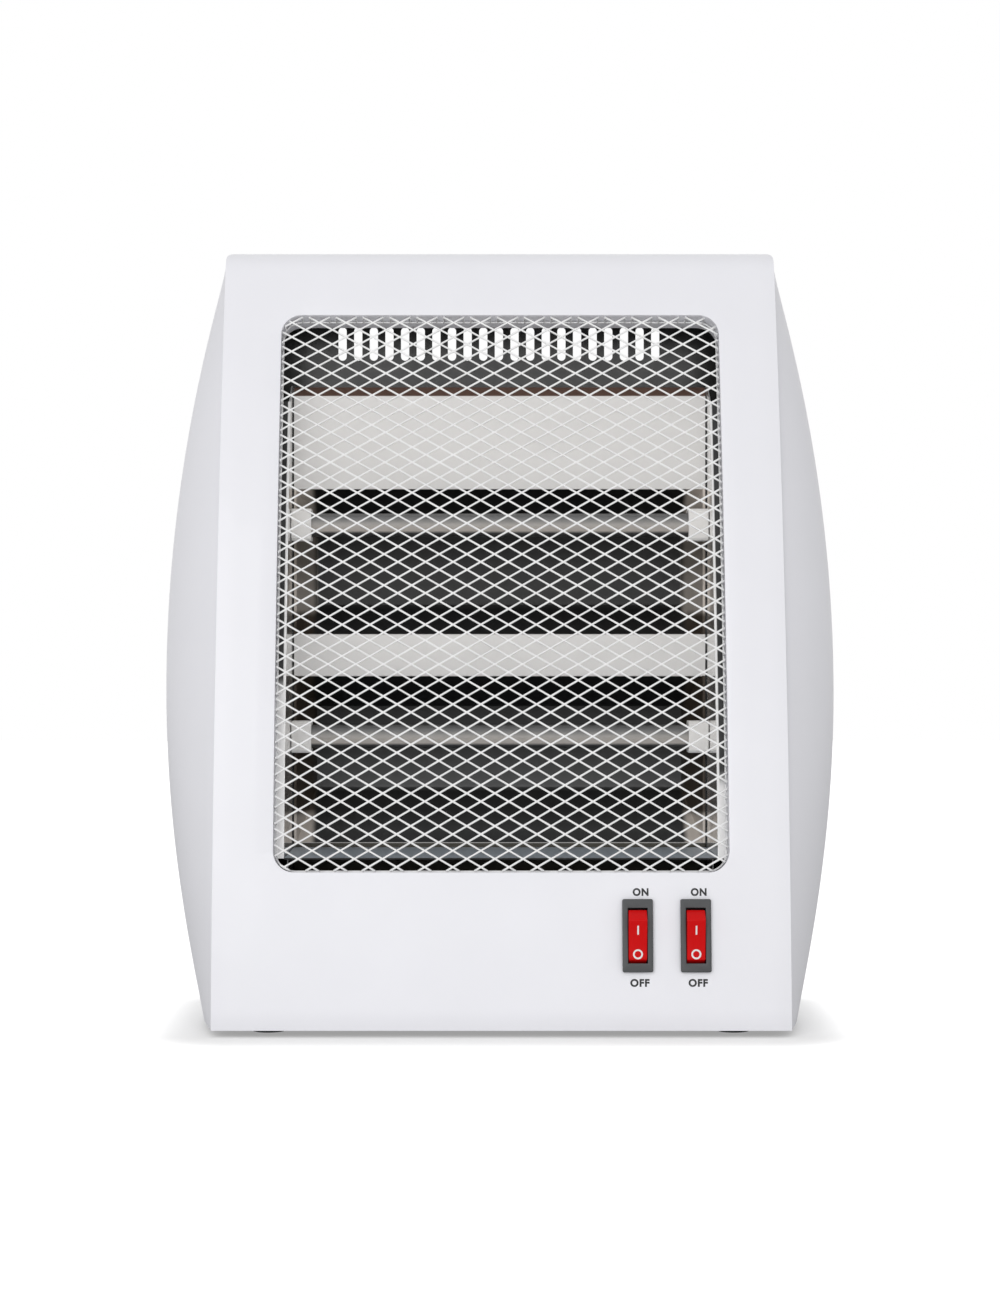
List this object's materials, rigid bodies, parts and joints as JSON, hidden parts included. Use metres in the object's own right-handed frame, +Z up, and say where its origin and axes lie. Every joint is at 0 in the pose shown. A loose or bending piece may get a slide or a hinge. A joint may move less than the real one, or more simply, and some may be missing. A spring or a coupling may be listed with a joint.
{
  "type": "electric bar heater",
  "caption": "Free-standing electric quartz bar heater: leaning front with a wire guard over two tubes in a bright reflector, and two rocker switches.",
  "frame": {"origin": "on the floor under the feet, midway across the width and the depth", "axes": "+X to the right seen from the front, +Y from the front to the back, +Z up"},
  "size_m": [0.3106, 0.129, 0.3571],
  "materials": {
    "cover_white": "satin white moulding",
    "side_white": "satin white moulding, a shade greyer than the front",
    "rear_white": "white enamel on sheet steel",
    "guard_white": "white enamel on expanded steel",
    "bright_aluminium": "bright rolled sheet",
    "chassis_steel": "zinc plated sheet",
    "quartz": "milky quartz",
    "heating_wire": "oxidised resistance wire",
    "ceramic": "unglazed ceramic",
    "switch_grey": "dark grey moulding",
    "rocker_red": "glossy red moulding",
    "black_rubber": "matte rubber",
    "black_plastic": "matte moulding",
    "pale_plastic": "matte moulding",
    "lead_sleeve": "woven glass sleeve over wire",
    "screw_steel": "bright zinc"
  },
  "bodies": {
    "case": {"front_cover": "cover_white", "side_cover_left": "side_white", "side_cover_right": "side_white", "rear_panel": "rear_white", "guard_mesh": "guard_white", "reflector": "bright_aluminium", "reflector_side_plate_left": "bright_aluminium", "reflector_side_plate_right": "bright_aluminium", "deck_plate": "bright_aluminium", "chassis_side_left": "chassis_steel", "chassis_side_right": "chassis_steel", "base_plate": "chassis_steel", "tube_terminal_upper_left": "chassis_steel", "tube_terminal_upper_right": "chassis_steel", "tube_terminal_lower_left": "chassis_steel", "tube_terminal_lower_right": "chassis_steel", "quartz_tube_upper": "quartz", "quartz_tube_lower": "quartz", "heating_coil_upper": "heating_wire", "heating_coil_lower": "heating_wire", "tube_holder_upper_left": "ceramic", "tube_holder_upper_right": "ceramic", "tube_holder_lower_left": "ceramic", "tube_holder_lower_right": "ceramic", "switch_body_left": "switch_grey", "switch_body_right": "switch_grey", "foot_front_left": "black_rubber", "foot_front_right": "black_rubber", "foot_rear_left": "black_rubber", "foot_rear_right": "black_rubber", "cord_gland": "black_rubber", "tip_switch_body": "black_plastic", "terminal_block": "pale_plastic", "lead_tube_link": "lead_sleeve", "lead_return": "lead_sleeve", "lead_upper_tube": "lead_sleeve", "lead_lower_tube": "lead_sleeve", "lead_tip_switch": "lead_sleeve", "rear_screw_left_lower": "screw_steel", "rear_screw_left_middle": "screw_steel", "rear_screw_left_upper": "screw_steel", "rear_screw_right_lower": "screw_steel", "rear_screw_right_middle": "screw_steel", "rear_screw_right_upper": "screw_steel", "base_screw_front_left": "screw_steel", "base_screw_front_right": "screw_steel", "base_screw_rear_left": "screw_steel", "base_screw_rear_right": "screw_steel", "side_screw_left_lower": "screw_steel", "side_screw_left_upper": "screw_steel", "side_screw_right_lower": "screw_steel", "side_screw_right_upper": "screw_steel", "switch_tab_left_upper": "screw_steel", "switch_tab_left_lower": "screw_steel", "switch_tab_right_upper": "screw_steel", "switch_tab_right_lower": "screw_steel", "tip_switch_spring": "screw_steel"},
    "rocker_left": {"rocker_left": "rocker_red"},
    "rocker_right": {"rocker_right": "rocker_red"},
    "tip_plunger": {"tip_switch_plunger": "pale_plastic"}
  },
  "joints": [
    {"name": "rocker_left_tilt", "type": "hinge", "parent": "case", "child": "rocker_left", "pos_m": [0.0602, -0.05466, 0.04396], "axis": [-1, 0, 0], "range_deg": [0, 24]},
    {"name": "rocker_right_tilt", "type": "hinge", "parent": "case", "child": "rocker_right", "pos_m": [0.0859, -0.05466, 0.04396], "axis": [-1, 0, 0], "range_deg": [0, 24]},
    {"name": "tip_plunger_slide", "type": "slide", "parent": "case", "child": "tip_plunger", "axis": [0, 0, -1], "range_m": [0, 0.005], "stiffness_N_per_m": 150, "springref_m": 0.006, "deforming": ["tip_switch_spring"]}
  ]
}
